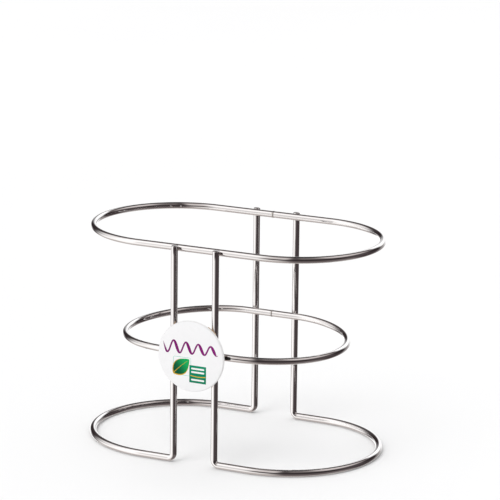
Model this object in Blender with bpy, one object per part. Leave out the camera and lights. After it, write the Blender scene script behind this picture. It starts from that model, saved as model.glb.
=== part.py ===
"""Ham holder stand: a bent-wire display stand for a ham.

Two handed foot wires each make a front upright, half of the base loop and a back upright.
Two closed long-round rings, a smaller one half-way up and a wider one at the top, lie
inside the four uprights and are welded to them.  A round badge is stuck across the two
front uprights.

Metres, +Z up, the object stands on Z = 0, front towards -Y, and the origin is at the
bottom centre of the whole object's box.
"""

import math

import bmesh
import bpy
from mathutils import Matrix, Vector

# ---------------------------------------------------------------- driving dimensions
WIRE_D = 0.0050            # round wire, across
WIRE_R = WIRE_D / 2
SIDES = 16                 # flats round the wire; one flat faces straight down
CLEAR = 0.0003             # gap kept between touching pieces

UPRIGHT_X = 0.0165         # half the spacing of the two uprights on one face
UPRIGHT_Y = 0.0686         # half the distance from front uprights to back uprights
FOOT_BEND_R = 0.0040       # corner between upright and base, on the wire's centre line
FOOT_ARC_X = 0.0423        # centre of each base end's half circle
FOOT_ARC_R = UPRIGHT_Y     # radius of that half circle
FOOT_Z = WIRE_R            # the base wire lies on the table

RING_ARC_R = UPRIGHT_Y - WIRE_D - CLEAR    # both rings lie just inside the uprights
MIDDLE_Z = 0.0826          # height of the middle ring's centre line at the welds
MIDDLE_ARC_X = 0.0209      # centre of its half circles, either side of the middle
MIDDLE_DIP = 0.0026        # its two free ends dip this far below the welded part
TOP_Z = 0.1597             # height of the top ring's centre line
TOP_ARC_X = 0.0476
UPRIGHT_TOP = TOP_Z + WIRE_R               # uprights end level with the top ring
TIP_CHAMFER = 0.0006       # deburred wire ends

NUGGET_R = 0.0024          # weld nugget between two crossing wires, seen along Y
NUGGET_HALF_Y = 0.0012     # and its half depth along Y
BUTT_WELD_R = 0.0027       # bead that closes a ring
BUTT_WELD_LEN = 0.0010

BADGE_D = 0.0525           # round badge
BADGE_T = 0.0015
BADGE_Z = 0.0832
BADGE_EDGE = 0.0002        # broken edge of the disc
LABEL_D = 0.0515
LABEL_T = 0.0003
TAPE_W = 0.0060            # double-sided foam tape strips behind the badge
TAPE_T = 0.0008
TAPE_X = 0.0155            # the strips lie a little inside the two uprights

# depth of the badge stack in front of the uprights, and the shift that puts the whole
# object's box in the middle of the frame
WIRE_FRONT_Y = -(UPRIGHT_Y + WIRE_R)
TAPE_BACK_Y = WIRE_FRONT_Y - CLEAR
DISC_BACK_Y = TAPE_BACK_Y - TAPE_T - CLEAR
LABEL_BACK_Y = DISC_BACK_Y - BADGE_T - CLEAR
FRONT_Y = LABEL_BACK_Y - LABEL_T
FRAME_Y = -(FRONT_Y + UPRIGHT_Y + WIRE_R) / 2

ARC_STEPS = 36             # segments in a half circle
BEND_STEPS = 6             # segments in a foot corner


# ---------------------------------------------------------------- scene and materials
def clear_scene():
    for ob in list(bpy.data.objects):
        bpy.data.objects.remove(ob, do_unlink=True)
    for block in (bpy.data.meshes, bpy.data.materials):
        for item in list(block):
            block.remove(item)


def make_material(name, colour, roughness, metallic):
    mat = bpy.data.materials.new(name)
    mat.use_nodes = True
    bsdf = mat.node_tree.nodes["Principled BSDF"]
    bsdf.inputs["Base Color"].default_value = (*colour, 1.0)
    bsdf.inputs["Roughness"].default_value = roughness
    bsdf.inputs["Metallic"].default_value = metallic
    mat.diffuse_color = (*colour, 1.0)
    return mat


# ---------------------------------------------------------------- wire sweeps
def arc(centre, start, end, steps):
    """Points of a circular arc from start to end round centre, both ends included."""
    a = start - centre
    b = end - centre
    angle = a.angle(b)
    if abs(angle - math.pi) < 1e-6:
        raise ValueError("use half_circle for a half turn")
    axis = a.cross(b).normalized()
    return [centre + Matrix.Rotation(angle * i / steps, 3, axis) @ a for i in range(steps + 1)]


def half_circle(cx, radius, z, side, steps):
    """Half circle in plan, from the front point to the back point, bulging to side."""
    points = []
    for i in range(steps + 1):
        t = math.pi * i / steps
        points.append(Vector((cx + side * radius * math.sin(t), -radius * math.cos(t), z)))
    return points


def without_repeats(points):
    kept = [points[0]]
    for p in points[1:]:
        if (p - kept[-1]).length > 1e-6:
            kept.append(p)
    return kept


def sweep(name, path, up, chamfer=0.0):
    """Round wire along an open path, with a flat of the section facing along -up."""
    path = without_repeats(path)
    count = len(path)
    tangents = []
    for i in range(count):
        before = (path[i] - path[i - 1]).normalized() if i else None
        after = (path[i + 1] - path[i]).normalized() if i < count - 1 else None
        if before is None:
            tangents.append(after)
        elif after is None:
            tangents.append(before)
        else:
            tangents.append((before + after).normalized())

    # the section is carried along without twist
    side = tangents[0].cross(up).normalized()
    sides = [side]
    for i in range(1, count):
        turn = tangents[i - 1].rotation_difference(tangents[i])
        side = (turn @ side)
        side = (side - side.dot(tangents[i]) * tangents[i]).normalized()
        sides.append(side)

    corner_r = WIRE_R / math.cos(math.pi / SIDES)     # flats are WIRE_R from the axis
    stations = []                                     # point, tangent, side, radius
    for i in range(count):
        stations.append([path[i], tangents[i], sides[i], corner_r])
    if chamfer > 0:
        first = [path[0] + tangents[0] * chamfer, tangents[0], sides[0], corner_r]
        last = [path[-1] - tangents[-1] * chamfer, tangents[-1], sides[-1], corner_r]
        stations[0][3] = corner_r - chamfer
        stations[-1][3] = corner_r - chamfer
        stations.insert(1, first)
        stations.insert(len(stations) - 1, last)

    bm = bmesh.new()
    loops = []
    for i, (point, tangent, side, radius) in enumerate(stations):
        normal = side.cross(tangent)
        # where the path turns, the section is stretched across the mitre so that the
        # wire keeps its thickness
        stretch = Vector((0, 0, 0))
        gain = 0.0
        if 0 < i < len(stations) - 1:
            before = point - stations[i - 1][0]
            after = stations[i + 1][0] - point
            if before.length > 1e-9 and after.length > 1e-9:
                half = before.angle(after) / 2
                across = after.normalized() - before.normalized()
                if across.length > 1e-6:
                    stretch = across.normalized()
                    gain = 1 / math.cos(half) - 1
        loop = []
        for k in range(SIDES):
            a = (k + 0.5) * 2 * math.pi / SIDES
            offset = (side * math.cos(a) + normal * math.sin(a)) * radius
            offset += stretch * (offset.dot(stretch) * gain)
            loop.append(bm.verts.new(point + offset))
        loops.append(loop)
    for a, b in zip(loops, loops[1:]):
        for k in range(SIDES):
            bm.faces.new((a[k], a[(k + 1) % SIDES], b[(k + 1) % SIDES], b[k]))
    bm.faces.new(list(reversed(loops[0])))
    bm.faces.new(loops[-1])
    return finish(name, bm)


def finish(name, bm, angle=40.0):
    bmesh.ops.recalc_face_normals(bm, faces=bm.faces)
    mesh = bpy.data.meshes.new(name)
    bm.to_mesh(mesh)
    bm.free()
    mesh.shade_smooth()
    mesh.set_sharp_from_angle(angle=math.radians(angle))
    ob = bpy.data.objects.new(name, mesh)
    bpy.context.scene.collection.objects.link(ob)
    return ob


def foot_path(side):
    """Front upright down, corner, base half loop, corner, back upright up."""
    x = side * UPRIGHT_X
    bend = FOOT_BEND_R

    def corner(y):
        centre = Vector((x + side * bend, y, FOOT_Z + bend))
        top = Vector((x, y, FOOT_Z + bend))
        low = Vector((x + side * bend, y, FOOT_Z))
        return arc(centre, top, low, BEND_STEPS)

    front = [Vector((x, -UPRIGHT_Y, UPRIGHT_TOP))] + corner(-UPRIGHT_Y)
    base = half_circle(side * FOOT_ARC_X, FOOT_ARC_R, FOOT_Z, side, ARC_STEPS)
    back = list(reversed(corner(UPRIGHT_Y))) + [Vector((x, UPRIGHT_Y, UPRIGHT_TOP))]
    return front + base + back


def ring_path(arc_x, z, dip):
    """Closed ring as an open wire: its two ends face each other at the back."""
    gap = BUTT_WELD_LEN / 2 + CLEAR
    right = half_circle(arc_x, RING_ARC_R, z, 1, ARC_STEPS)
    left = half_circle(-arc_x, RING_ARC_R, z, -1, ARC_STEPS)
    points = [Vector((gap, RING_ARC_R, z))]
    points += list(reversed(right))
    points += left
    points += [Vector((-gap, RING_ARC_R, z))]
    for p in points:
        beyond = max(0.0, abs(p.x) - arc_x) / RING_ARC_R
        p.z -= dip * beyond ** 1.5
    return points


# ---------------------------------------------------------------- small solids
def ellipsoid(name, radii, segments=16, rings=10):
    bm = bmesh.new()
    bmesh.ops.create_uvsphere(bm, u_segments=segments, v_segments=rings, radius=1.0,
                              matrix=Matrix.Diagonal((*radii, 1.0)))
    return finish(name, bm, 80.0)


def disc_y(name, radius, y_back, thickness, x, z, segments=64, edge=0.0):
    """Round plate facing -Y, its back at y_back, with optionally broken edges."""
    profile = [(radius - edge, 0.0)]
    if edge > 0:
        profile += [(radius, edge), (radius, thickness - edge)]
    profile += [(radius - edge, thickness)]
    bm = bmesh.new()
    loops = []
    for r, depth in profile:
        loops.append([bm.verts.new((x + r * math.cos(2 * math.pi * k / segments),
                                    y_back - depth,
                                    z + r * math.sin(2 * math.pi * k / segments)))
                      for k in range(segments)])
    for a, b in zip(loops, loops[1:]):
        for k in range(segments):
            bm.faces.new((a[k], a[(k + 1) % segments], b[(k + 1) % segments], b[k]))
    bm.faces.new(loops[0])
    bm.faces.new(list(reversed(loops[-1])))
    return finish(name, bm)


def butt_bead(name, segments=20):
    """Short crowned bead on the X axis, a little proud of the wire it closes."""
    half = BUTT_WELD_LEN / 2
    crown = 0.0004
    bm = bmesh.new()
    loops = []
    for x, r in ((-half, BUTT_WELD_R - crown), (-half * 0.4, BUTT_WELD_R),
                 (half * 0.4, BUTT_WELD_R), (half, BUTT_WELD_R - crown)):
        loops.append([bm.verts.new((x, r * math.cos(2 * math.pi * k / segments),
                                    r * math.sin(2 * math.pi * k / segments)))
                      for k in range(segments)])
    for a, b in zip(loops, loops[1:]):
        for k in range(segments):
            bm.faces.new((a[k], a[(k + 1) % segments], b[(k + 1) % segments], b[k]))
    bm.faces.new(loops[0])
    bm.faces.new(list(reversed(loops[-1])))
    return finish(name, bm)


def tape_strip(name, x, outline_r):
    """Upright strip whose two ends follow the round of the badge."""
    left, right = x - TAPE_W / 2, x + TAPE_W / 2
    steps = 6
    top = []
    for i in range(steps + 1):
        px = left + (right - left) * i / steps
        top.append((px, math.sqrt(outline_r ** 2 - px ** 2)))
    outline = top + [(px, -pz) for px, pz in reversed(top)]
    bm = bmesh.new()
    back = [bm.verts.new((px, TAPE_BACK_Y, BADGE_Z + pz)) for px, pz in outline]
    front = [bm.verts.new((px, TAPE_BACK_Y - TAPE_T, BADGE_Z + pz)) for px, pz in outline]
    count = len(outline)
    for k in range(count):
        bm.faces.new((back[k], back[(k + 1) % count], front[(k + 1) % count], front[k]))
    bm.faces.new(list(reversed(back)))
    bm.faces.new(front)
    return finish(name, bm, 30.0)


def cut(target, cutter):
    mod = target.modifiers.new("pocket", "BOOLEAN")
    mod.operation = "DIFFERENCE"
    mod.solver = "EXACT"
    mod.object = cutter


def build():
    clear_scene()
    wire = make_material("bright_wire", (0.80, 0.80, 0.79), 0.10, 1.0)
    weld = make_material("weld_metal", (0.66, 0.65, 0.63), 0.28, 1.0)
    white = make_material("badge_white", (0.92, 0.92, 0.92), 0.35, 0.0)
    film = make_material("label_film", (0.95, 0.95, 0.95), 0.30, 0.0)
    tape = make_material("foam_tape", (0.62, 0.47, 0.33), 0.85, 0.0)

    frame = bpy.data.objects.new("stand_frame", None)
    frame.location = (0.0, FRAME_Y, 0.0)
    bpy.context.scene.collection.objects.link(frame)

    def place(ob, material=None):
        ob.parent = frame
        if material is not None:
            ob.data.materials.append(material)
        return ob

    up = Vector((0, 0, 1))
    feet = {}
    for label, side in (("left", -1), ("right", 1)):
        # the section's reference is the direction that "up" takes on the upright
        feet[side] = place(sweep(label + "_foot_wire", foot_path(side),
                                 Vector((side, 0, 0)), TIP_CHAMFER), wire)

    middle_path = ring_path(MIDDLE_ARC_X, MIDDLE_Z, MIDDLE_DIP)
    top_path = ring_path(TOP_ARC_X, TOP_Z, 0.0)
    rings = {
        "middle": (MIDDLE_Z, place(sweep("middle_ring", middle_path, up), wire)),
        "top": (TOP_Z, place(sweep("top_ring", top_path, up), wire)),
    }

    # weld nuggets, each seated in a pocket in the ring and one in the upright
    nugget_y = UPRIGHT_Y - WIRE_R - CLEAR / 2
    for level, (z, ring) in rings.items():
        for face, fy in (("front", -1), ("back", 1)):
            for label, side in (("left", -1), ("right", 1)):
                spot = Vector((side * UPRIGHT_X, fy * nugget_y, z))
                name = "weld_%s_%s_%s" % (level, face, label)
                nugget = place(ellipsoid(name, (NUGGET_R, NUGGET_HALF_Y, NUGGET_R)), weld)
                nugget.location = spot
                cutter = place(ellipsoid("pocket_" + name,
                                         (NUGGET_R + CLEAR, NUGGET_HALF_Y + CLEAR, NUGGET_R + CLEAR)))
                cutter.location = spot
                cutter.hide_render = True
                cutter.display_type = "WIRE"
                cut(ring, cutter)
                cut(feet[side], cutter)

    # beads that close the two rings at the back
    for name, z in (("middle_ring_butt_weld", MIDDLE_Z), ("top_ring_butt_weld", TOP_Z)):
        bead = place(butt_bead(name), weld)
        bead.location = (0.0, RING_ARC_R, z)

    # badge: two tape strips, the disc and its printed film
    place(tape_strip("badge_tape_left", -TAPE_X, BADGE_D / 2), tape)
    place(tape_strip("badge_tape_right", TAPE_X, BADGE_D / 2), tape)
    place(disc_y("badge_disc", BADGE_D / 2, DISC_BACK_Y, BADGE_T, 0.0, BADGE_Z, 64, BADGE_EDGE), white)
    place(disc_y("badge_label", LABEL_D / 2, LABEL_BACK_Y, LABEL_T, 0.0, BADGE_Z, 64), film)
    bpy.context.view_layer.update()


build()
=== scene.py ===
"""Ham holder stand: the visible model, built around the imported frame.

The four wires are redrawn as smooth round wire along the same centre lines, the weld nuggets
as small fillets squeezed out between crossing wires, and the badge as a moulded disc with a
printed film on two strips of foam tape.
"""

import math

import bpy
from mathutils import Matrix, Vector, noise


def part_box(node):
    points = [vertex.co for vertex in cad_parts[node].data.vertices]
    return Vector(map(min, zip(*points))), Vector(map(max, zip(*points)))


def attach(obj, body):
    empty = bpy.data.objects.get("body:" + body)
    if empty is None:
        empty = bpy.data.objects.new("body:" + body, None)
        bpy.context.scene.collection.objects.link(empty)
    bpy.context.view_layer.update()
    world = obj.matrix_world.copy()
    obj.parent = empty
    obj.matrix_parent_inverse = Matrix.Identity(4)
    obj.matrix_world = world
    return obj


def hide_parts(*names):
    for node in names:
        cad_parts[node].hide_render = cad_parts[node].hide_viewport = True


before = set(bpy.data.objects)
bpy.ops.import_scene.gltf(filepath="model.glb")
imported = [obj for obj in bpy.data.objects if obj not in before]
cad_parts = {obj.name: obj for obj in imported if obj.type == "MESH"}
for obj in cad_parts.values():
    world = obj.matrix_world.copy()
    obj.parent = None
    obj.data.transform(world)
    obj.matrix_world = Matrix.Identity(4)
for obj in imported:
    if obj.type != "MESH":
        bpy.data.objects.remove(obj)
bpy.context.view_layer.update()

MM = 0.001

# ------------------------------------------------------------------ places, read from the CAD
foot_lo, foot_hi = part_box("right_foot_wire")
left_lo, left_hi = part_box("left_foot_wire")
mid_lo, mid_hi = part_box("middle_ring")
top_lo, top_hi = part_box("top_ring")
disc_lo, disc_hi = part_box("badge_disc")
film_lo, film_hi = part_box("badge_label")

WIRE_R = (top_hi.z - top_lo.z) / 2
CENTRE_Y = (foot_lo.y + foot_hi.y) / 2
UPRIGHT_X = foot_lo.x + WIRE_R
UPRIGHT_Y = (foot_hi.y - foot_lo.y) / 2 - WIRE_R
UPRIGHT_TOP = foot_hi.z
FOOT_ARC_X = foot_hi.x - WIRE_R - UPRIGHT_Y
BEND_R = 4.0 * MM

RING_ARC_R = (top_hi.y - top_lo.y) / 2 - WIRE_R
TOP_Z = (top_lo.z + top_hi.z) / 2
TOP_ARC_X = top_hi.x - WIRE_R - RING_ARC_R
MID_Z = mid_hi.z - WIRE_R
MID_DIP = (mid_hi.z - mid_lo.z) - 2 * WIRE_R
MID_ARC_X = mid_hi.x - WIRE_R - RING_ARC_R


# ------------------------------------------------------------------ node helpers
class Tree:
    """Short names for building a node tree."""

    def __init__(self, tree):
        self.tree = tree
        self.nodes = tree.nodes
        self.links = tree.links

    def put(self, socket, value):
        if isinstance(value, bpy.types.NodeSocket):
            self.links.new(value, socket)
        elif value is not None:
            socket.default_value = value

    def math(self, op, a, b=None, c=None, clamp=False):
        n = self.nodes.new("ShaderNodeMath")
        n.operation = op
        n.use_clamp = clamp
        for i, v in enumerate((a, b, c)):
            self.put(n.inputs[i], v)
        return n.outputs[0]

    def ramp(self, value, start, end, low=0.0, high=1.0, smooth=True):
        n = self.nodes.new("ShaderNodeMapRange")
        n.interpolation_type = "SMOOTHSTEP" if smooth else "LINEAR"
        n.clamp = True
        for i, v in enumerate((value, start, end, low, high)):
            self.put(n.inputs[i], v)
        return n.outputs[0]

    def vmath(self, op, a, b=None, out=0):
        n = self.nodes.new("ShaderNodeVectorMath")
        n.operation = op
        self.put(n.inputs[0], a)
        if b is not None:
            self.put(n.inputs[1], b)
        return n.outputs[out]

    def dot(self, a, b):
        return self.vmath("DOT_PRODUCT", a, b, 1)

    def noise(self, vector, scale, detail=3.0, rough=0.5):
        n = self.nodes.new("ShaderNodeTexNoise")
        n.inputs["Scale"].default_value = scale
        n.inputs["Detail"].default_value = detail
        n.inputs["Roughness"].default_value = rough
        if vector is not None:
            self.links.new(vector, n.inputs["Vector"])
        return n.outputs["Fac"]

    def voronoi(self, vector, scale, feature="F1"):
        n = self.nodes.new("ShaderNodeTexVoronoi")
        n.feature = feature
        n.inputs["Scale"].default_value = scale
        if vector is not None:
            self.links.new(vector, n.inputs["Vector"])
        return n.outputs["Distance"]

    def mix(self, fac, a, b, blend="MIX"):
        n = self.nodes.new("ShaderNodeMix")
        n.data_type = "RGBA"
        n.blend_type = blend
        self.put(n.inputs["Factor"], fac)
        self.put(n.inputs[6], a if isinstance(a, bpy.types.NodeSocket) else (*a, 1.0))
        self.put(n.inputs[7], b if isinstance(b, bpy.types.NodeSocket) else (*b, 1.0))
        return n.outputs[2]

    def scaled(self, vector, scale):
        n = self.nodes.new("ShaderNodeMapping")
        self.links.new(vector, n.inputs["Vector"])
        n.inputs["Scale"].default_value = scale
        return n.outputs[0]

    def bump(self, height, strength, distance, normal=None):
        n = self.nodes.new("ShaderNodeBump")
        n.inputs["Strength"].default_value = strength
        n.inputs["Distance"].default_value = distance
        self.links.new(height, n.inputs["Height"])
        if normal is not None:
            self.links.new(normal, n.inputs["Normal"])
        return n.outputs[0]


def new_material(name):
    mat = bpy.data.materials.new(name)
    mat.use_nodes = True
    t = Tree(mat.node_tree)
    bsdf = mat.node_tree.nodes["Principled BSDF"]
    coords = mat.node_tree.nodes.new("ShaderNodeTexCoord")
    return mat, t, bsdf, coords


# ------------------------------------------------------------------ materials
def wire_material():
    """Bright drawn stainless wire, electropolished: die lines along its length, a faint film
    of handling marks, and dulled metal where the base rubs on the table."""
    mat, t, bsdf, coords = new_material("bright_wire_polished")
    obj = coords.outputs["Object"]
    uv = coords.outputs["UV"]                      # u round the wire, v along it in metres

    lines = t.noise(t.scaled(uv, (34.0, 2.5, 1.0)), 1.0, 3.0, 0.55)
    fine = t.noise(t.scaled(uv, (150.0, 9.0, 1.0)), 1.0, 2.0, 0.6)
    cloud = t.noise(obj, 55.0, 3.0, 0.55)
    marks = t.noise(obj, 900.0, 4.0, 0.7)
    scratch = t.voronoi(t.scaled(uv, (30.0, 420.0, 1.0)), 1.0, "DISTANCE_TO_EDGE")
    scratch = t.ramp(scratch, 0.0, 0.035, 1.0, 0.0)
    scratch = t.math("MULTIPLY", scratch, t.ramp(cloud, 0.60, 0.72))

    sep = t.nodes.new("ShaderNodeSeparateXYZ")
    t.links.new(obj, sep.inputs[0])
    rubbed = t.ramp(sep.outputs[2], 0.0002, 0.0007, 1.0, 0.0)
    rubbed = t.math("MULTIPLY", rubbed, t.ramp(marks, 0.35, 0.6))

    rough = t.ramp(cloud, 0.35, 0.72, 0.038, 0.054)
    rough = t.math("ADD", rough, t.ramp(lines, 0.45, 0.8, 0.0, 0.015))
    rough = t.math("ADD", rough, t.math("MULTIPLY", scratch, 0.05))
    rough = t.math("ADD", rough, t.math("MULTIPLY", rubbed, 0.28))
    t.links.new(rough, bsdf.inputs["Roughness"])

    colour = t.mix(t.ramp(cloud, 0.3, 0.75), (0.855, 0.842, 0.838), (0.835, 0.822, 0.818))
    colour = t.mix(t.ramp(lines, 0.55, 0.85, 0.0, 0.15), colour, (0.60, 0.585, 0.57))
    colour = t.mix(t.math("MULTIPLY", rubbed, 0.5), colour, (0.45, 0.44, 0.43))
    t.links.new(colour, bsdf.inputs["Base Color"])

    bump = t.bump(lines, 0.01, 0.00002)
    bump = t.bump(fine, 0.01, 0.00001, bump)
    bump = t.bump(scratch, 0.02, 0.00001, bump)
    t.links.new(bump, bsdf.inputs["Normal"])
    bsdf.inputs["Metallic"].default_value = 1.0
    return mat


def weld_material():
    """Small resistance welds: satin metal, slightly rippled, a little straw where it ran hot."""
    mat, t, bsdf, coords = new_material("weld_metal_satin")
    obj = coords.outputs["Object"]
    lump = t.noise(obj, 1300.0, 4.0, 0.6)
    grain = t.noise(obj, 5200.0, 3.0, 0.6)
    tint = t.noise(obj, 700.0, 2.0, 0.5)
    colour = t.mix(t.ramp(tint, 0.45, 0.7), (0.62, 0.61, 0.60), (0.56, 0.50, 0.42))
    colour = t.mix(t.ramp(lump, 0.58, 0.75, 0.0, 0.7), colour, (0.34, 0.31, 0.29))
    t.links.new(colour, bsdf.inputs["Base Color"])
    t.links.new(t.ramp(lump, 0.3, 0.7, 0.20, 0.42), bsdf.inputs["Roughness"])
    bump = t.bump(lump, 0.5, 0.00012)
    bump = t.bump(grain, 0.3, 0.00003, bump)
    t.links.new(bump, bsdf.inputs["Normal"])
    bsdf.inputs["Metallic"].default_value = 1.0
    return mat


def badge_material():
    """Moulded white plastic: faint flow clouds, fine orange peel, small nicks on the edge."""
    mat, t, bsdf, coords = new_material("badge_white_plastic")
    obj = coords.outputs["Object"]
    cloud = t.noise(obj, 60.0, 3.0, 0.5)
    peel = t.noise(obj, 1500.0, 3.0, 0.5)
    nick = t.ramp(t.noise(obj, 700.0, 2.0, 0.6), 0.66, 0.74)
    colour = t.mix(t.ramp(cloud, 0.3, 0.7), (0.84, 0.835, 0.83), (0.81, 0.806, 0.80))
    colour = t.mix(t.math("MULTIPLY", nick, 0.35), colour, (0.66, 0.65, 0.63))
    t.links.new(colour, bsdf.inputs["Base Color"])
    t.links.new(t.ramp(cloud, 0.3, 0.7, 0.30, 0.40), bsdf.inputs["Roughness"])
    t.links.new(t.bump(peel, 0.15, 0.00003), bsdf.inputs["Normal"])
    bsdf.inputs["IOR"].default_value = 1.49
    return mat


def film_material():
    """White vinyl film under a clear satin coat, with a hint of printing grain."""
    mat, t, bsdf, coords = new_material("label_film_white")
    obj = coords.outputs["Object"]
    cloud = t.noise(obj, 75.0, 2.0, 0.5)
    grain = t.noise(obj, 4200.0, 2.0, 0.5)
    colour = t.mix(t.ramp(cloud, 0.3, 0.7), (0.905, 0.900, 0.904), (0.896, 0.892, 0.897))
    colour = t.mix(t.ramp(grain, 0.62, 0.8, 0.0, 0.15), colour, (0.84, 0.835, 0.84))
    t.links.new(colour, bsdf.inputs["Base Color"])
    t.links.new(t.ramp(cloud, 0.3, 0.7, 0.26, 0.34), bsdf.inputs["Roughness"])
    t.links.new(t.bump(cloud, 0.03, 0.0002), bsdf.inputs["Normal"])
    bsdf.inputs["IOR"].default_value = 1.48
    bsdf.inputs["Specular IOR Level"].default_value = 0.2
    return mat


def ink_material(name, dark, light, axis=(1.0, 0.0, 0.0), start=0.0, end=1.0):
    """Printed ink: a blend between two tones across the motif and a fine print grain."""
    mat, t, bsdf, coords = new_material(name)
    obj = coords.outputs["Object"]
    along = t.dot(obj, axis)
    grain = t.noise(obj, 5200.0, 2.0, 0.6)
    colour = t.mix(t.ramp(along, start, end), dark, light)
    worn = t.mix(t.ramp(grain, 0.64, 0.84, 0.0, 0.12), colour, (0.75, 0.75, 0.75))
    t.links.new(worn, bsdf.inputs["Base Color"])
    t.links.new(t.ramp(grain, 0.3, 0.7, 0.26, 0.36), bsdf.inputs["Roughness"])
    bsdf.inputs["Specular IOR Level"].default_value = 0.10
    t.links.new(t.bump(grain, 0.12, 0.00001), bsdf.inputs["Normal"])
    return mat


def foam_material():
    """Cut edge of tan foam tape: small cells, uneven tone, no gloss."""
    mat, t, bsdf, coords = new_material("foam_tape_tan")
    obj = coords.outputs["Object"]
    cells = t.voronoi(obj, 5200.0)
    cloud = t.noise(obj, 420.0, 3.0, 0.6)
    colour = t.mix(t.ramp(cloud, 0.3, 0.7), (0.60, 0.43, 0.29), (0.70, 0.53, 0.38))
    colour = t.mix(t.ramp(cells, 0.25, 0.6, 0.0, 0.55), colour, (0.40, 0.27, 0.17))
    t.links.new(colour, bsdf.inputs["Base Color"])
    t.links.new(t.ramp(cells, 0.1, 0.6, 0.72, 0.95), bsdf.inputs["Roughness"])
    t.links.new(t.bump(cells, 0.6, 0.00006), bsdf.inputs["Normal"])
    return mat


def floor_material():
    mat, t, bsdf, coords = new_material("floor_white")
    obj = coords.outputs["Object"]
    cloud = t.noise(obj, 1.3, 2.0, 0.5)
    colour = t.mix(t.ramp(cloud, 0.3, 0.7), (0.90, 0.90, 0.90), (0.885, 0.885, 0.885))
    t.links.new(colour, bsdf.inputs["Base Color"])
    bsdf.inputs["Roughness"].default_value = 0.85
    bsdf.inputs["Specular IOR Level"].default_value = 0.1
    return mat


wire = wire_material()
weld = weld_material()
plastic = badge_material()
film = film_material()
foam = foam_material()


# ------------------------------------------------------------------ mesh helpers
def make_object(name, verts, faces, material, uvs=None, smooth=True):
    mesh = bpy.data.meshes.new(name)
    mesh.from_pydata([tuple(v) for v in verts], [], faces)
    mesh.validate()
    mesh.update()
    if smooth:
        mesh.shade_smooth()
    if uvs is not None:
        layer = mesh.uv_layers.new(name="wire")
        flat = [c for face in uvs for pair in face for c in pair]
        layer.data.foreach_set("uv", flat)
    ob = bpy.data.objects.new(name, mesh)
    bpy.context.scene.collection.objects.link(ob)
    ob.data.materials.append(material)
    return ob


def tube(name, points, radius, material, sides=48, closed=False, tip=0.7 * MM):
    """Round wire along a line of points; open ends get a deburred, slightly crowned tip."""
    pts = [Vector(p) for p in points]
    kept = [pts[0]]
    for p in pts[1:]:
        if (p - kept[-1]).length > 1e-6:
            kept.append(p)
    if closed and (kept[0] - kept[-1]).length < 1e-6:
        kept.pop()
    pts = kept
    n = len(pts)
    tangents = []
    for i in range(n):
        if closed:
            a, b = pts[i - 1], pts[(i + 1) % n]
            t = (pts[i] - a).normalized() + (b - pts[i]).normalized()
        elif i == 0:
            t = pts[1] - pts[0]
        elif i == n - 1:
            t = pts[-1] - pts[-2]
        else:
            t = (pts[i] - pts[i - 1]).normalized() + (pts[i + 1] - pts[i]).normalized()
        tangents.append(t.normalized())
    start = Vector((0, 0, 1)) if abs(tangents[0].z) < 0.9 else Vector((0, 1, 0))
    side = tangents[0].cross(start).normalized()
    sides_at = [side]
    for i in range(1, n):
        turn = tangents[i - 1].rotation_difference(tangents[i])
        side = turn @ side
        side = (side - side.dot(tangents[i]) * tangents[i]).normalized()
        sides_at.append(side)

    stations = []
    along = 0.0
    for i in range(n):
        if i:
            along += (pts[i] - pts[i - 1]).length
        stations.append([pts[i], tangents[i], sides_at[i], radius, along])
    if not closed:
        def tips(end):
            sgn = 1 if end == 0 else -1
            p, t, s, _, a = stations[end]
            crown = 0.06 * MM
            made = []
            for share in (0.3, 0.65, 0.9):
                made.append([p + t * sgn * crown * share ** 2, t, s, (radius - tip) * share, a])
            for k in range(8):
                ang = math.pi / 2 * k / 7
                d = crown + tip * (1 - math.cos(ang))
                made.append([p + t * sgn * d, t, s, radius - tip + tip * math.sin(ang), a])
            return made
        first = tips(0)
        last = tips(-1)
        body = stations[1:-1]
        stations = first + body + list(reversed(last))
    verts, faces, uvs = [], [], []
    m = len(stations)
    for p, t, s, r, a in stations:
        up = s.cross(t)
        for k in range(sides):
            ang = 2 * math.pi * k / sides
            verts.append(p + (s * math.cos(ang) + up * math.sin(ang)) * r)
    rows = m if closed else m - 1
    for i in range(rows):
        j = (i + 1) % m
        v0 = stations[i][4]
        v1 = stations[j][4] if j else stations[i][4] + (pts[0] - pts[-1]).length
        for k in range(sides):
            l = (k + 1) % sides
            faces.append((i * sides + k, i * sides + l, j * sides + l, j * sides + k))
            u0, u1 = k / sides, (k + 1) / sides
            uvs.append(((u0, v0), (u1, v0), (u1, v1), (u0, v1)))
    if not closed:
        for row, flip in ((0, True), (m - 1, False)):
            centre = len(verts)
            verts.append(stations[row][0])
            for k in range(sides):
                l = (k + 1) % sides
                tri = (centre, row * sides + l, row * sides + k) if flip else \
                      (centre, row * sides + k, row * sides + l)
                faces.append(tri)
                uvs.append(((0.5, 0.0),) * 3)
    return make_object(name, verts, faces, material, uvs)


def outward(ob):
    """Turns every face of a closed mesh to face out."""
    import bmesh
    bm = bmesh.new()
    bm.from_mesh(ob.data)
    bmesh.ops.recalc_face_normals(bm, faces=bm.faces)
    bm.to_mesh(ob.data)
    bm.free()
    return ob


def lathe_y(name, profile, x, z, material, segments=160):
    """Closed turned body round a line along Y: profile is (radius, y), from axis to axis."""
    verts, faces = [], []
    rings = []
    for r, y in profile:
        if r < 1e-7:
            rings.append([len(verts)])
            verts.append((x, y, z))
        else:
            rings.append(list(range(len(verts), len(verts) + segments)))
            for k in range(segments):
                a = 2 * math.pi * k / segments
                verts.append((x + r * math.cos(a), y, z + r * math.sin(a)))
    for a, b in zip(rings, rings[1:]):
        for k in range(segments):
            l = (k + 1) % segments
            if len(a) == 1:
                faces.append((a[0], b[k], b[l]))
            elif len(b) == 1:
                faces.append((a[k], b[0], a[l]))
            else:
                faces.append((a[k], b[k], b[l], a[l]))
    return outward(make_object(name, verts, faces, material))


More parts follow.
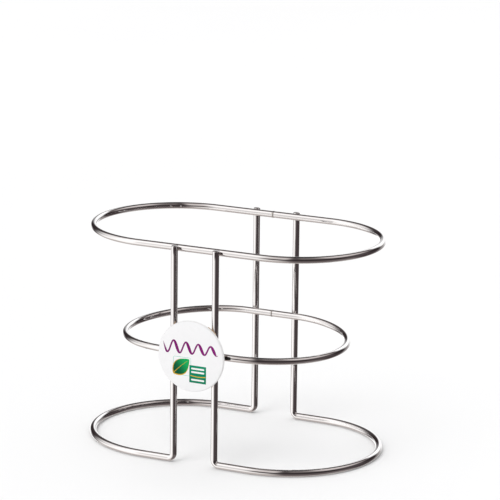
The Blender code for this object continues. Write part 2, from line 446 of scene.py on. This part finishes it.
def slab(name, outline, y_back, y_front, material):
    """Thin closed plate with a given outline in X and Z, facing -Y."""
    n = len(outline)
    verts = [(x, y_back, z) for x, z in outline] + [(x, y_front, z) for x, z in outline]
    faces = [tuple(range(n)), tuple(reversed(range(n, 2 * n)))]
    for k in range(n):
        l = (k + 1) % n
        faces.append((k, k + n, l + n, l))
    return outward(make_object(name, verts, faces, material, smooth=False))


def ribbon(name, line, widths, y_back, y_front, material, closed=False):
    """Thin closed strip that follows a line in X and Z, with a width at each point."""
    n = len(line)
    left, right = [], []
    for i in range(n):
        if closed:
            a, b = Vector(line[i - 1]), Vector(line[(i + 1) % n])
        else:
            a, b = Vector(line[max(i - 1, 0)]), Vector(line[min(i + 1, n - 1)])
        t = (b - a).normalized()
        nrm = Vector((-t.y, t.x)) * widths[i] / 2
        p = Vector(line[i])
        left.append(p + nrm)
        right.append(p - nrm)
    verts = []
    for y in (y_back, y_front):
        for side in (left, right):
            verts += [(p.x, y, p.y) for p in side]
    faces = []
    count = n if closed else n - 1
    for i in range(count):
        j = (i + 1) % n
        bl, br, fl, fr = i, n + i, 2 * n + i, 3 * n + i
        bl2, br2, fl2, fr2 = j, n + j, 2 * n + j, 3 * n + j
        faces += [(bl, br, br2, bl2), (fl, fl2, fr2, fr), (bl, bl2, fl2, fl), (br, fr, fr2, br2)]
    if not closed:
        faces += [(0, 2 * n, 3 * n, n), (n - 1, 2 * n - 1, 4 * n - 1, 3 * n - 1)]
    return outward(make_object(name, verts, faces, material, smooth=False))


def keep(ob, slot, *nodes):
    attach(ob, "root")
    if nodes:
        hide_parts(*nodes)
    return ob


# ------------------------------------------------------------------ wires
def straight(a, b, step=7 * MM):
    a, b = Vector(a), Vector(b)
    count = max(1, round((b - a).length / step))
    return [a.lerp(b, i / count) for i in range(count + 1)]


def foot_points(side):
    """Front upright down, tight corner, round the base, tight corner, back upright up."""
    x = side * UPRIGHT_X
    zc = WIRE_R

    def corner(y):
        out = []
        for i in range(15):
            a = math.pi / 2 * i / 14
            out.append(Vector((x + side * BEND_R * (1 - math.cos(a)), y,
                               zc + BEND_R * (1 - math.sin(a)))))
        return out

    front_y, back_y = CENTRE_Y - UPRIGHT_Y, CENTRE_Y + UPRIGHT_Y
    pts = straight((x, front_y, UPRIGHT_TOP), (x, front_y, zc + BEND_R))
    pts += corner(front_y)
    pts += straight((x + side * BEND_R, front_y, zc), (side * FOOT_ARC_X, front_y, zc))
    for i in range(1, 111):
        a = math.pi * i / 110
        pts.append(Vector((side * (FOOT_ARC_X + UPRIGHT_Y * math.sin(a)),
                           CENTRE_Y - UPRIGHT_Y * math.cos(a), zc)))
    pts += straight((side * FOOT_ARC_X, back_y, zc), (x + side * BEND_R, back_y, zc))
    pts += list(reversed(corner(back_y)))
    pts += straight((x, back_y, zc + BEND_R), (x, back_y, UPRIGHT_TOP))
    return pts


def ring_points(arc_x, z, dip):
    """Closed long-round loop that starts and ends at the butt weld at the back."""
    r = RING_ARC_R
    back, front = CENTRE_Y + r, CENTRE_Y - r
    pts = straight((0, back, z), (arc_x, back, z), 4 * MM)
    for i in range(1, 111):
        a = math.pi * i / 110
        pts.append(Vector((arc_x + r * math.sin(a), CENTRE_Y + r * math.cos(a), z)))
    pts += straight((arc_x, front, z), (-arc_x, front, z), 4 * MM)
    for i in range(1, 111):
        a = math.pi * i / 110
        pts.append(Vector((-arc_x - r * math.sin(a), CENTRE_Y - r * math.cos(a), z)))
    pts += straight((-arc_x, back, z), (0, back, z), 4 * MM)
    for p in pts:
        beyond = max(0.0, abs(p.x) - arc_x) / r
        p.z -= dip * beyond ** 1.5
    return pts


for label, side in (("left", -1), ("right", 1)):
    foot = tube(label + "_foot_wire_drawn", foot_points(side), WIRE_R, wire)
    keep(outward(foot), "bright_wire", label + "_foot_wire")

middle = tube("middle_ring_drawn", ring_points(MID_ARC_X, MID_Z, MID_DIP), WIRE_R, wire, closed=True)
keep(outward(middle), "bright_wire", "middle_ring")
top = tube("top_ring_drawn", ring_points(TOP_ARC_X, TOP_Z, 0.0), WIRE_R, wire, closed=True)
keep(outward(top), "bright_wire", "top_ring")


# ------------------------------------------------------------------ welds
def weld_fillet(name, x, z, face, seed):
    """Metal squeezed out where an upright and a ring cross: a waisted collar that starts on
    one round wire and ends on the other."""
    reach = UPRIGHT_Y - RING_ARC_R
    y0 = CENTRE_Y + face * UPRIGHT_Y
    to_ring = -face
    around, steps = 64, 12
    sink = 0.14 * MM

    def upright_surface(px):
        return math.sqrt(max(0.0, WIRE_R ** 2 - px ** 2))

    def ring_surface(pz):
        return reach - math.sqrt(max(0.0, WIRE_R ** 2 - pz ** 2))

    verts, rings = [], []

    def add_ring(make):
        rings.append(list(range(len(verts), len(verts) + around)))
        for k in range(around):
            a = 2 * math.pi * k / around
            px, q, pz = make(a)
            verts.append((x + px, y0 + to_ring * q, z + pz))

    def base_radius(a):
        wobble = noise.noise(Vector((math.cos(a) * 1.4, math.sin(a) * 1.4, seed * 3.7)))
        return (2.12 + 0.22 * wobble) * MM

    centre_a = len(verts)
    verts.append((x, y0 + to_ring * (upright_surface(0) - sink), z))
    for share in (0.35, 0.7):
        add_ring(lambda a, s=share: (base_radius(a) * s * math.cos(a),
                                     upright_surface(base_radius(a) * s * math.cos(a)) - sink,
                                     base_radius(a) * s * math.sin(a)))
    for j in range(steps + 1):
        f = j / steps

        def make(a, f=f):
            pull = math.sin(math.pi * f) ** 0.7 * 0.42 * MM
            lump = noise.noise(Vector((math.cos(a) * 2.6, math.sin(a) * 2.6, seed + f * 2.2))) * 0.09 * MM
            r = base_radius(a) - pull + lump
            px, pz = r * math.cos(a), r * math.sin(a)
            q0, q1 = upright_surface(px) - sink, ring_surface(pz) + sink
            return px, q0 + (q1 - q0) * f, pz
        add_ring(make)
    for share in (0.7, 0.35):
        add_ring(lambda a, s=share: (base_radius(a) * s * math.cos(a),
                                     ring_surface(base_radius(a) * s * math.sin(a)) + sink,
                                     base_radius(a) * s * math.sin(a)))
    centre_b = len(verts)
    verts.append((x, y0 + to_ring * (ring_surface(0) + sink), z))

    faces = []
    for k in range(around):
        l = (k + 1) % around
        faces.append((centre_a, rings[0][l], rings[0][k]))
        faces.append((centre_b, rings[-1][k], rings[-1][l]))
    for a, b in zip(rings, rings[1:]):
        for k in range(around):
            l = (k + 1) % around
            faces.append((a[k], a[l], b[l], b[k]))
    return outward(make_object(name, verts, faces, weld))


seed = 1
for level, z in (("middle", MID_Z), ("top", TOP_Z)):
    for face_name, face in (("front", -1), ("back", 1)):
        for label, side in (("left", -1), ("right", 1)):
            node = "weld_%s_%s_%s" % (level, face_name, label)
            fillet = weld_fillet(node + "_fillet", side * UPRIGHT_X, z, face, seed)
            keep(fillet, "weld_metal", node)
            seed += 1


def butt_collar(name, z, seed):
    """Dressed-off bead where a ring's two ends were welded, round the X axis."""
    y = CENTRE_Y + RING_ARC_R
    around, steps = 72, 20
    half = 1.5 * MM
    verts, rings = [], []
    for j in range(steps + 1):
        f = -1 + 2 * j / steps
        rings.append(list(range(len(verts), len(verts) + around)))
        for k in range(around):
            a = 2 * math.pi * k / around
            lump = noise.noise(Vector((math.cos(a) * 1.8, math.sin(a) * 1.8, seed + f)))
            bead = 0.20 * math.exp(-((f * 1.5 + 0.12 * lump) / 0.52) ** 2)
            r = WIRE_R - 0.02 * MM + (bead + 0.035 * lump * (1 - f * f)) * MM
            if abs(f) > 0.999:
                r = WIRE_R - 0.05 * MM
            verts.append((f * half, y + r * math.cos(a), z + r * math.sin(a)))
    inner = []
    for f in (1, -1):
        inner.append(list(range(len(verts), len(verts) + around)))
        for k in range(around):
            a = 2 * math.pi * k / around
            r = WIRE_R - 0.4 * MM
            verts.append((f * half * 0.9, y + r * math.cos(a), z + r * math.sin(a)))
    rings += inner
    faces = []
    loop = rings + [rings[0]]
    for a, b in zip(loop, loop[1:]):
        for k in range(around):
            l = (k + 1) % around
            faces.append((a[k], a[l], b[l], b[k]))
    return outward(make_object(name, verts, faces, weld))


keep(butt_collar("middle_ring_butt_weld_bead", MID_Z, 21.0), "weld_metal", "middle_ring_butt_weld")
keep(butt_collar("top_ring_butt_weld_bead", TOP_Z, 35.0), "weld_metal", "top_ring_butt_weld")


# ------------------------------------------------------------------ badge
BADGE_Z = (disc_lo.z + disc_hi.z) / 2
DISC_R = (disc_hi.x - disc_lo.x) / 2
FILM_R = (film_hi.x - film_lo.x) / 2


def rounded_profile(radius, y_back, y_front, edge_back, edge_front, steps=7):
    """Half section of a plate with rounded edges, from the axis at the back to the front."""
    pts = [(0.0, y_back), (radius * 0.5, y_back), (radius - edge_back, y_back)]
    for i in range(1, steps + 1):
        a = math.pi / 2 * i / steps
        pts.append((radius - edge_back + edge_back * math.sin(a),
                    y_back - edge_back * (1 - math.cos(a))))
    for i in range(steps + 1):
        a = math.pi / 2 * i / steps
        pts.append((radius - edge_front + edge_front * math.cos(a),
                    y_front + edge_front * (1 - math.sin(a))))
    pts += [(radius * 0.5, y_front), (0.0, y_front)]
    return pts


disc = lathe_y("badge_disc_moulded",
               rounded_profile(DISC_R, disc_hi.y, disc_lo.y, 0.25 * MM, 0.30 * MM),
               0.0, BADGE_Z, plastic)
keep(disc, "badge_white", "badge_disc")
disc.visible_glossy = False      # its bright back would show as a pale band in the ring behind it

# the film lies on the disc: its back reaches down to the disc's face
label = lathe_y("badge_label_film",
                rounded_profile(FILM_R, disc_lo.y + 0.02 * MM, film_lo.y, 0.02 * MM, 0.12 * MM, 4),
                0.0, BADGE_Z, film)
keep(label, "label_film", "badge_label")

INK_BACK = film_lo.y + 0.03 * MM
INK_FRONT = film_lo.y - 0.025 * MM


def on_badge(points, cx=0.0, cz=0.0, turn=0.0):
    """Millimetres on the badge's face to metres in the frame."""
    c, s = math.cos(turn), math.sin(turn)
    return [((cx + px * c - pz * s) * MM, BADGE_Z + (cz + px * s + pz * c) * MM) for px, pz in points]


purple = ink_material("ink_purple", (0.19, 0.006, 0.14), (0.23, 0.011, 0.17), (1, 0, 0), -0.02, 0.02)
leaf_green = ink_material("ink_leaf_green", (0.0, 0.085, 0.035), (0.005, 0.40, 0.10), (0.8, 0, 0.6),
                          -0.012 + 0.6 * BADGE_Z - 0.004, -0.004 + 0.6 * BADGE_Z)
block_green = ink_material("ink_block_green", (0.0, 0.200, 0.100), (0.0, 0.250, 0.130), (0, 0, 1),
                           BADGE_Z - 0.019, BADGE_Z - 0.006)
gold = ink_material("ink_gold", (0.62, 0.36, 0.02), (0.80, 0.50, 0.04), (1, 0, 0), -0.013, 0.012)
pale = ink_material("ink_pale_green", (0.32, 0.68, 0.54), (0.42, 0.74, 0.62), (1, 0, 0), -0.013, 0.0)
white_ink = ink_material("ink_white", (0.86, 0.88, 0.86), (0.90, 0.91, 0.90), (1, 0, 0), 0.0, 0.012)

# a plain wave line across the upper half
wave, wave_w = [], []
for i in range(181):
    f = i / 180
    px = -22.3 + 44.6 * f
    swell = 4.8 - 1.7 * f
    pz = 6.1 + swell * math.sin(2 * math.pi * 4.5 * f + 2.4)
    wave.append((px, pz))
    slope = math.cos(2 * math.pi * 4.5 * f + 2.4)
    wave_w.append(max(0.05, (1.22 + 1.10 * max(0.0, -slope)) * min(1.0, f * 14, (1 - f) * 14)) * MM)
keep(ribbon("print_wave_line", on_badge(wave), wave_w, INK_BACK, INK_FRONT, purple), "label_film")


def leaf_outline(length, width, steps=40):
    half = []
    for i in range(steps + 1):
        f = i / steps
        half.append((f * length - length / 2, width / 2 * math.sin(math.pi * f ** 0.85) ** 0.85 if 0 < f < 1 else 0.0))
    return half + [(px, -pz) for px, pz in reversed(half[1:-1])]


turn = math.radians(42)
keep(slab("print_leaf_gold_edge", on_badge(leaf_outline(17.4, 11.6), -7.5, -8.2, turn),
          INK_BACK, INK_FRONT, gold), "label_film")
keep(slab("print_leaf", on_badge(leaf_outline(16.6, 10.6), -7.2, -7.8, turn),
          INK_BACK, INK_FRONT - 0.015 * MM, leaf_green), "label_film")
rib = [(-8.9 + 15.2 * i / 30, 0.35 * math.sin(math.pi * i / 30)) for i in range(31)]
rib_w = [(0.55 * (1 - 0.8 * i / 30)) * MM for i in range(31)]
keep(ribbon("print_leaf_rib", on_badge(rib, -7.2, -7.8, turn), rib_w,
            INK_BACK, INK_FRONT - 0.03 * MM, gold), "label_film")

frame_line = []
for cx, cz, a0 in ((-1.0, -2.4, 0), (-12.6, -2.4, 90), (-12.6, -13.4, 180), (-1.0, -13.4, 270)):
    for i in range(7):
        a = math.radians(a0 + 90 * i / 6)
        frame_line.append((cx + 1.2 * math.cos(a), cz + 1.2 * math.sin(a)))
keep(ribbon("print_pale_frame", on_badge(frame_line), [0.36 * MM] * len(frame_line),
            INK_BACK, INK_FRONT + 0.01 * MM, pale, closed=True), "label_film")


def box_outline(x0, z0, x1, z1, r, steps=5):
    out = []
    for cx, cz, a0 in ((x1 - r, z1 - r, 0), (x0 + r, z1 - r, 90), (x0 + r, z0 + r, 180), (x1 - r, z0 + r, 270)):
        for i in range(steps + 1):
            a = math.radians(a0 + 90 * i / steps)
            out.append((cx + r * math.cos(a), cz + r * math.sin(a)))
    return out


keep(slab("print_green_block", on_badge(box_outline(-0.9, -19.2, 12.5, -6.3, 0.3)),
          INK_BACK, INK_FRONT - 0.01 * MM, block_green), "label_film")
for i, (z0, z1) in enumerate(((-9.3, -8.0), (-11.9, -10.6), (-17.6, -16.3))):
    keep(slab("print_white_bar_%d" % (i + 1), on_badge(box_outline(0.6, z0, 11.0, z1, 0.5)),
              INK_BACK, INK_FRONT - 0.03 * MM, white_ink), "label_film")
swing = [(0.0 + 12.0 * i / 24, -14.0 - 0.5 * math.sin(math.pi * i / 24)) for i in range(25)]
keep(ribbon("print_gold_line", on_badge(swing), [0.55 * MM] * 25,
            INK_BACK, INK_FRONT - 0.03 * MM, gold), "label_film")


# ------------------------------------------------------------------ foam tape
def tape(name, node, seed):
    lo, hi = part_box(node)
    x0, x1 = lo.x, hi.x
    outline_r = DISC_R - 0.05 * MM
    edge = []
    steps = 14

    def rim(px):
        return math.sqrt(max(0.0, outline_r ** 2 - px ** 2))

    for i in range(steps + 1):
        px = x0 + (x1 - x0) * i / steps
        edge.append((px, rim(px)))
    zr = rim(x1)
    for i in range(1, 40):
        edge.append((x1, zr - 2 * zr * i / 40))
    for i in range(steps + 1):
        px = x1 + (x0 - x1) * i / steps
        edge.append((px, -rim(px)))
    zl = rim(x0)
    for i in range(1, 40):
        edge.append((x0, -zl + 2 * zl * i / 40))
    n = len(edge)
    cx = (x0 + x1) / 2
    y_back = hi.y + 0.28 * MM        # pressed onto the round of the wire
    y_front = disc_hi.y - 0.02 * MM
    layers = 7
    verts = []
    for j in range(layers + 1):
        f = j / layers
        y = y_back + (y_front - y_back) * f
        belly = 0.12 * MM * math.sin(math.pi * f)
        for px, pz in edge:
            d = Vector((px - cx, pz)).normalized()
            rough = noise.noise(Vector((px, pz, f * 0.001)) * 2400.0 + Vector((seed, 0, 0))) * 0.07 * MM
            shift = -0.22 * MM + belly + rough
            verts.append((px + d.x * shift, y, BADGE_Z + pz + d.y * shift))
    faces = [tuple(range(n)), tuple(reversed(range(layers * n, (layers + 1) * n)))]
    for j in range(layers):
        for k in range(n):
            l = (k + 1) % n
            faces.append((j * n + k, j * n + l, (j + 1) * n + l, (j + 1) * n + k))
    ob = outward(make_object(name, verts, faces, foam))
    ob.data.set_sharp_from_angle(angle=math.radians(50))
    return keep(ob, "foam_tape", node)


tape("badge_tape_left_foam", "badge_tape_left", 3.0)
tape("badge_tape_right_foam", "badge_tape_right", 8.0)


# ------------------------------------------------------------------ camera
YAW, PITCH, ROLL = 0.44434232, 0.24251158, -0.01214029
fwd = Vector((-math.sin(YAW) * math.cos(PITCH), math.cos(YAW) * math.cos(PITCH), -math.sin(PITCH)))
right = Vector((math.cos(YAW), math.sin(YAW), 0.0))
down = fwd.cross(right)
r2 = right * math.cos(ROLL) + down * math.sin(ROLL)
d2 = down * math.cos(ROLL) - right * math.sin(ROLL)
cam_data = bpy.data.cameras.new("camera")
cam_data.sensor_width = 36.0
cam_data.lens = 2955.0678 * 36.0 / 500.0
cam_data.clip_start, cam_data.clip_end = 0.05, 60.0
cam = bpy.data.objects.new("camera", cam_data)
bpy.context.scene.collection.objects.link(cam)
rot = Matrix((r2, -d2, -fwd)).transposed()
cam.matrix_world = Matrix.Translation((0.9156637, -1.8989893, 0.6679242)) @ rot.to_4x4()
bpy.context.scene.camera = cam


# ------------------------------------------------------------------ floor, light and surroundings
half = 9.0
floor = make_object("floor", [(-half, -half, 0), (half, -half, 0), (half, half, 0), (-half, half, 0)],
                    [(0, 1, 2, 3)], floor_material(), smooth=False)
floor.visible_glossy = False

FRONT = Vector((math.sin(YAW), -math.cos(YAW), 0.0))   # from the object towards the viewer
RIGHT = Vector((math.cos(YAW), math.sin(YAW), 0.0))


world = bpy.data.worlds.new("studio")
bpy.context.scene.world = world
world.use_nodes = True
wt = Tree(world.node_tree)
world.node_tree.nodes.clear()
w_out = wt.nodes.new("ShaderNodeOutputWorld")
w_bg = wt.nodes.new("ShaderNodeBackground")
wt.links.new(w_bg.outputs[0], w_out.inputs["Surface"])
w_tc = wt.nodes.new("ShaderNodeTexCoord")
direction = w_tc.outputs["Generated"]
f_ = wt.dot(direction, FRONT)
r_ = wt.dot(direction, RIGHT)
z_ = wt.dot(direction, (0, 0, 1))
turn_deg = wt.math("MULTIPLY", wt.math("ARCTAN2", r_, f_), 180 / math.pi)     # 0 front, 90 right
turn_deg = wt.math("FLOORED_MODULO", turn_deg, 360.0)                         # 180 behind, 270 left
high_deg = wt.math("MULTIPLY", wt.math("ARCSINE", wt.math("MINIMUM", wt.math("MAXIMUM", z_, -1.0), 1.0)),
                   180 / math.pi)


def band(value, low, high, soft_low, soft_high):
    up = wt.ramp(value, low - soft_low / 2, low + soft_low / 2)
    return wt.math("MULTIPLY", up, wt.ramp(value, high + soft_high / 2, high - soft_high / 2))


def patch(turn_low, turn_high, high_low, high_high, ts=(10, 10), hs=(10, 10)):
    return wt.math("MULTIPLY", band(turn_deg, turn_low, turn_high, *ts),
                   band(high_deg, high_low, high_high, *hs))


# the dark studio: warm near the table, a little lighter overhead and straight below
room = wt.nodes.new("ShaderNodeValToRGB")
room.color_ramp.interpolation = "EASE"
stops = [(-90, (0.28, 0.250, 0.243)), (-72, (0.20, 0.172, 0.168)), (-58, (0.138, 0.112, 0.110)),
         (-44, (0.142, 0.116, 0.114)), (-31, (0.150, 0.124, 0.123)), (-20, (0.076, 0.061, 0.063)),
         (-6, (0.047, 0.037, 0.039)), (10, (0.027, 0.020, 0.022)), (20, (0.038, 0.029, 0.030)),
         (31, (0.104, 0.087, 0.087)), (43, (0.170, 0.147, 0.145)), (55, (0.195, 0.172, 0.169)),
         (70, (0.185, 0.163, 0.160)), (90, (0.13, 0.116, 0.116))]
while len(room.color_ramp.elements) < len(stops):
    room.color_ramp.elements.new(0.5)
for element, (deg, colour) in zip(room.color_ramp.elements, stops):
    element.position = (deg + 90) / 180
    element.color = (*colour, 1.0)
wt.links.new(wt.ramp(high_deg, -90, 90, smooth=False), room.inputs["Fac"])
studio = room.outputs["Color"]
lights = [
    # the dark side, low on the right: a lighter floor, a deep shadow beside it, a faint panel
    (patch(54, 100, -56, -28, (24, 18), (14, 12)), 0.8, (0.205, 0.176, 0.174)),
    (patch(94, 133, -43, -17, (16, 14), (12, 10)), 0.8, (0.046, 0.035, 0.036)),
    (patch(64, 106, -10, 28, (16, 14), (16, 14)), 0.8, (0.094, 0.077, 0.080)),
    # high right: a dim soft light, seen as a thin streak on the front of every ring
    (patch(51, 118, 32, 72, (44, 26), (20, 20)), 1.0, (0.75, 0.69, 0.68)),
    # nothing but dark room high behind
    (patch(139, 186, 42, 97, (14, 12), (8, 2)), 1.0, (0.006, 0.005, 0.006)),
    # the table: pale from behind round the left to the front
    (patch(108, 200, -97, -49, (56, 40), (2, 18)), 1.0, (0.52, 0.49, 0.48)),
    (patch(152, 338, -97, -25, (40, 40), (2, 14)), 1.0, (0.545, 0.492, 0.472)),
    (patch(158, 206, -50, -27, (30, 26), (18, 10)), 0.85, (0.74, 0.72, 0.71)),
    (patch(264, 308, -52, -27, (26, 16), (18, 10)), 0.90, (1.00, 0.980, 0.970)),
    (patch(296, 338, -46, -13, (20, 40), (18, 5)), 1.0, (0.96, 0.920, 0.905)),
    # a dark strip between the left light and the sweep behind
    (patch(190, 220, 26, 60, (12, 18), (14, 14)), 0.8, (0.048, 0.040, 0.041)),
    # high front left: the fringe of the left light
    (patch(306, 350, 20, 76, (20, 16), (22, 14)), 1.0, (0.72, 0.665, 0.650)),
    # a dark gap high in front, either side of turn 0
    (patch(350, 362, 32, 78, (14, 2), (14, 12)), 0.75, (0.060, 0.050, 0.050)),
    (patch(-2, 6, 32, 78, (2, 10), (14, 12)), 0.75, (0.060, 0.050, 0.050)),
    # a tall soft light on the left, fading out towards the back
    (patch(249, 311, -31, 68, (68, 34), (14, 24)), 1.0, (1.32, 1.290, 1.280)),
    (patch(238, 298, -28, 0, (32, 30), (12, 14)), 0.9, (1.18, 1.160, 1.150)),
    (patch(232, 262, 16, 44, (30, 20), (14, 18)), 0.85, (1.05, 1.020, 1.010)),
    # the white sweep behind, upper right and along the horizon
    (patch(134, 170, -30, 6, (14, 20), (16, 14)), 1.0, (0.35, 0.325, 0.32)),
    (patch(138, 176, 8, 34, (18, 14), (12, 6)), 1.0, (1.30, 1.30, 1.31)),
    (patch(150, 186, -14, 12, (20, 20), (16, 10)), 1.0, (1.10, 1.10, 1.11)),
    (patch(168, 210, -30, 0, (26, 22), (14, 12)), 1.0, (1.25, 1.245, 1.245)),
]
for mask, share, colour in lights:
    studio = wt.mix(wt.math("MULTIPLY", mask, share), studio, colour)
lp = wt.nodes.new("ShaderNodeLightPath")
sky = wt.mix(lp.outputs["Is Glossy Ray"], (0.78, 0.78, 0.785), studio)
wt.links.new(sky, w_bg.inputs["Color"])
w_bg.inputs["Strength"].default_value = 1.0


def sun(name, towards, strength, spread, colour=(1, 1, 1)):
    """A very large far softbox in one direction: even light over the whole floor, soft shadows,
    and no reflection of its own, because the reflections are the studio's above."""
    data = bpy.data.lights.new(name, "SUN")
    data.energy = strength
    data.angle = math.radians(spread)
    data.color = colour
    ob = bpy.data.objects.new(name, data)
    bpy.context.scene.collection.objects.link(ob)
    ob.rotation_mode = "QUATERNION"
    ob.rotation_quaternion = (-towards).to_track_quat("-Z", "Y")
    ob.visible_glossy = False
    return ob


sun("key", -RIGHT * 0.55 + FRONT * 0.45 + Vector((0, 0, 1)), 0.85, 34, (1.0, 0.998, 0.992))
sun("top", -FRONT * 0.35 + Vector((0, 0, 1)), 0.47, 50)

bpy.context.scene.view_settings.view_transform = "Standard"
bpy.context.scene.view_settings.look = "None"
